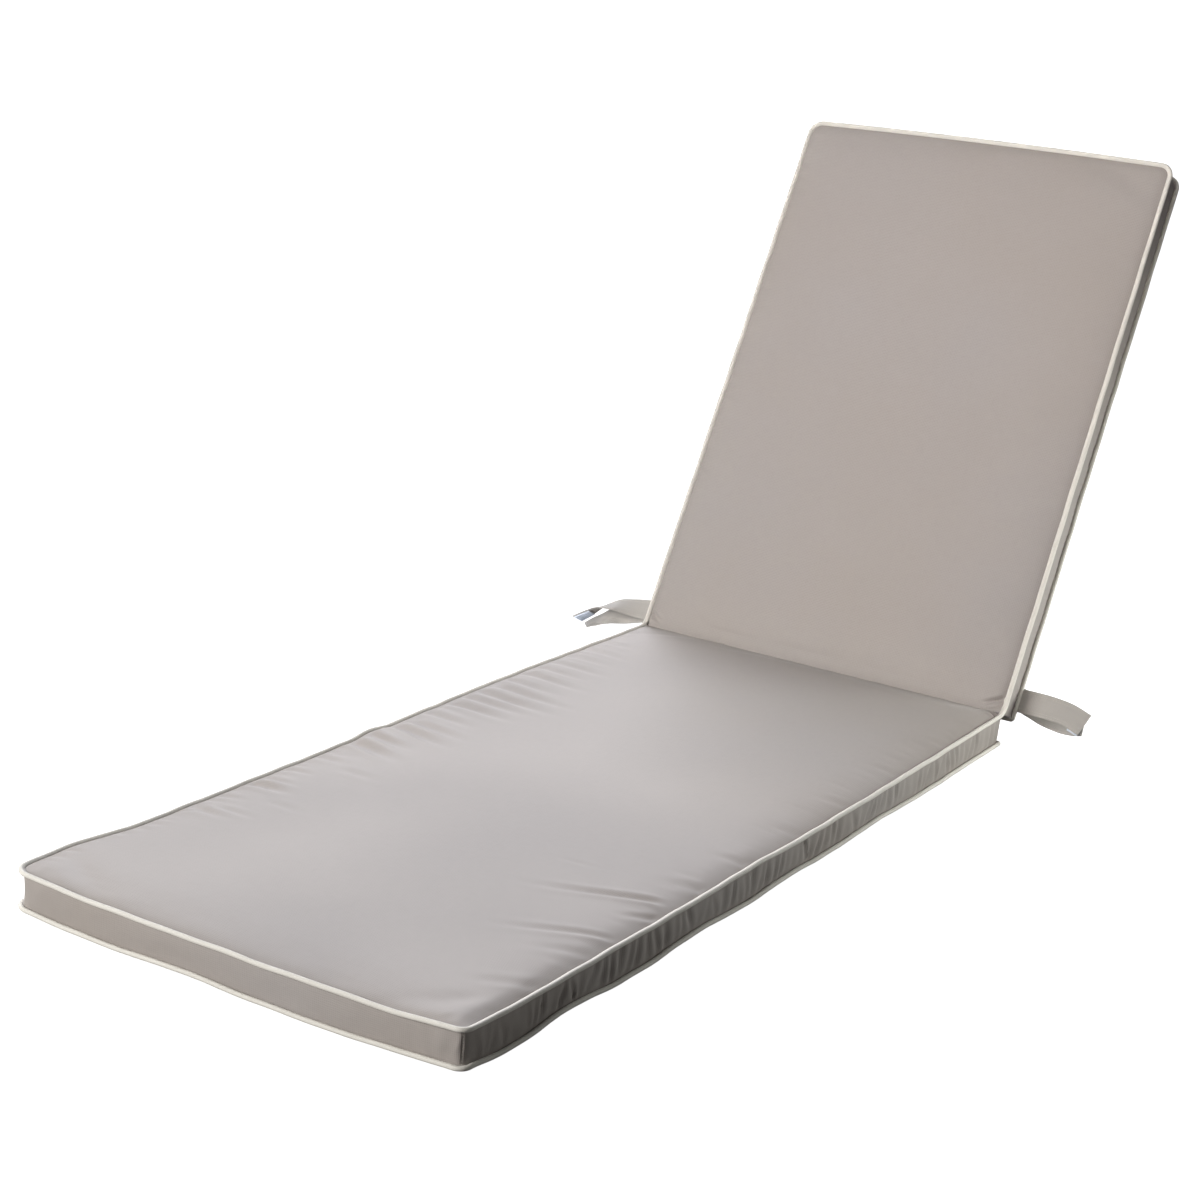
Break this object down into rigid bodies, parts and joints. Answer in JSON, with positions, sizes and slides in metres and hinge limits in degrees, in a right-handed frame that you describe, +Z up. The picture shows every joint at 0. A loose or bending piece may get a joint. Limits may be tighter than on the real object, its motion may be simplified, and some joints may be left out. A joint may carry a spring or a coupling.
{
  "type": "sun lounger cushion",
  "caption": "Long flat seat cushion with a hinged back section raised at its crease, piped seams, padded cover and tie straps at the hinge.",
  "frame": {"origin": "the middle of the seat's flat underside, on the surface that the cushion lies on", "axes": "+Y from the foot end to the hinge and the raised back, +X to the right seen from the foot, +Z up"},
  "size_m": [0.7804, 1.6408, 0.7404],
  "materials": {
    "cover_fabric": "taupe grey woven polyester, matt with a faint sheen",
    "piping_cord": "cream fabric-covered piping, matt",
    "tie_fabric": "taupe grey woven strap with stitched edges",
    "hook_pad": "pale hook tape"
  },
  "bodies": {
    "root": {"cushion": "cover_fabric", "piping_top": "piping_cord", "piping_seat_underside": "piping_cord", "piping_back_rear": "piping_cord", "tie_right_front": "tie_fabric", "tie_right_rear": "tie_fabric", "tie_left_upper": "tie_fabric", "tie_left_lower": "tie_fabric", "hook_pad_left": "hook_pad", "hook_pad_right": "hook_pad"}
  },
  "joints": []
}
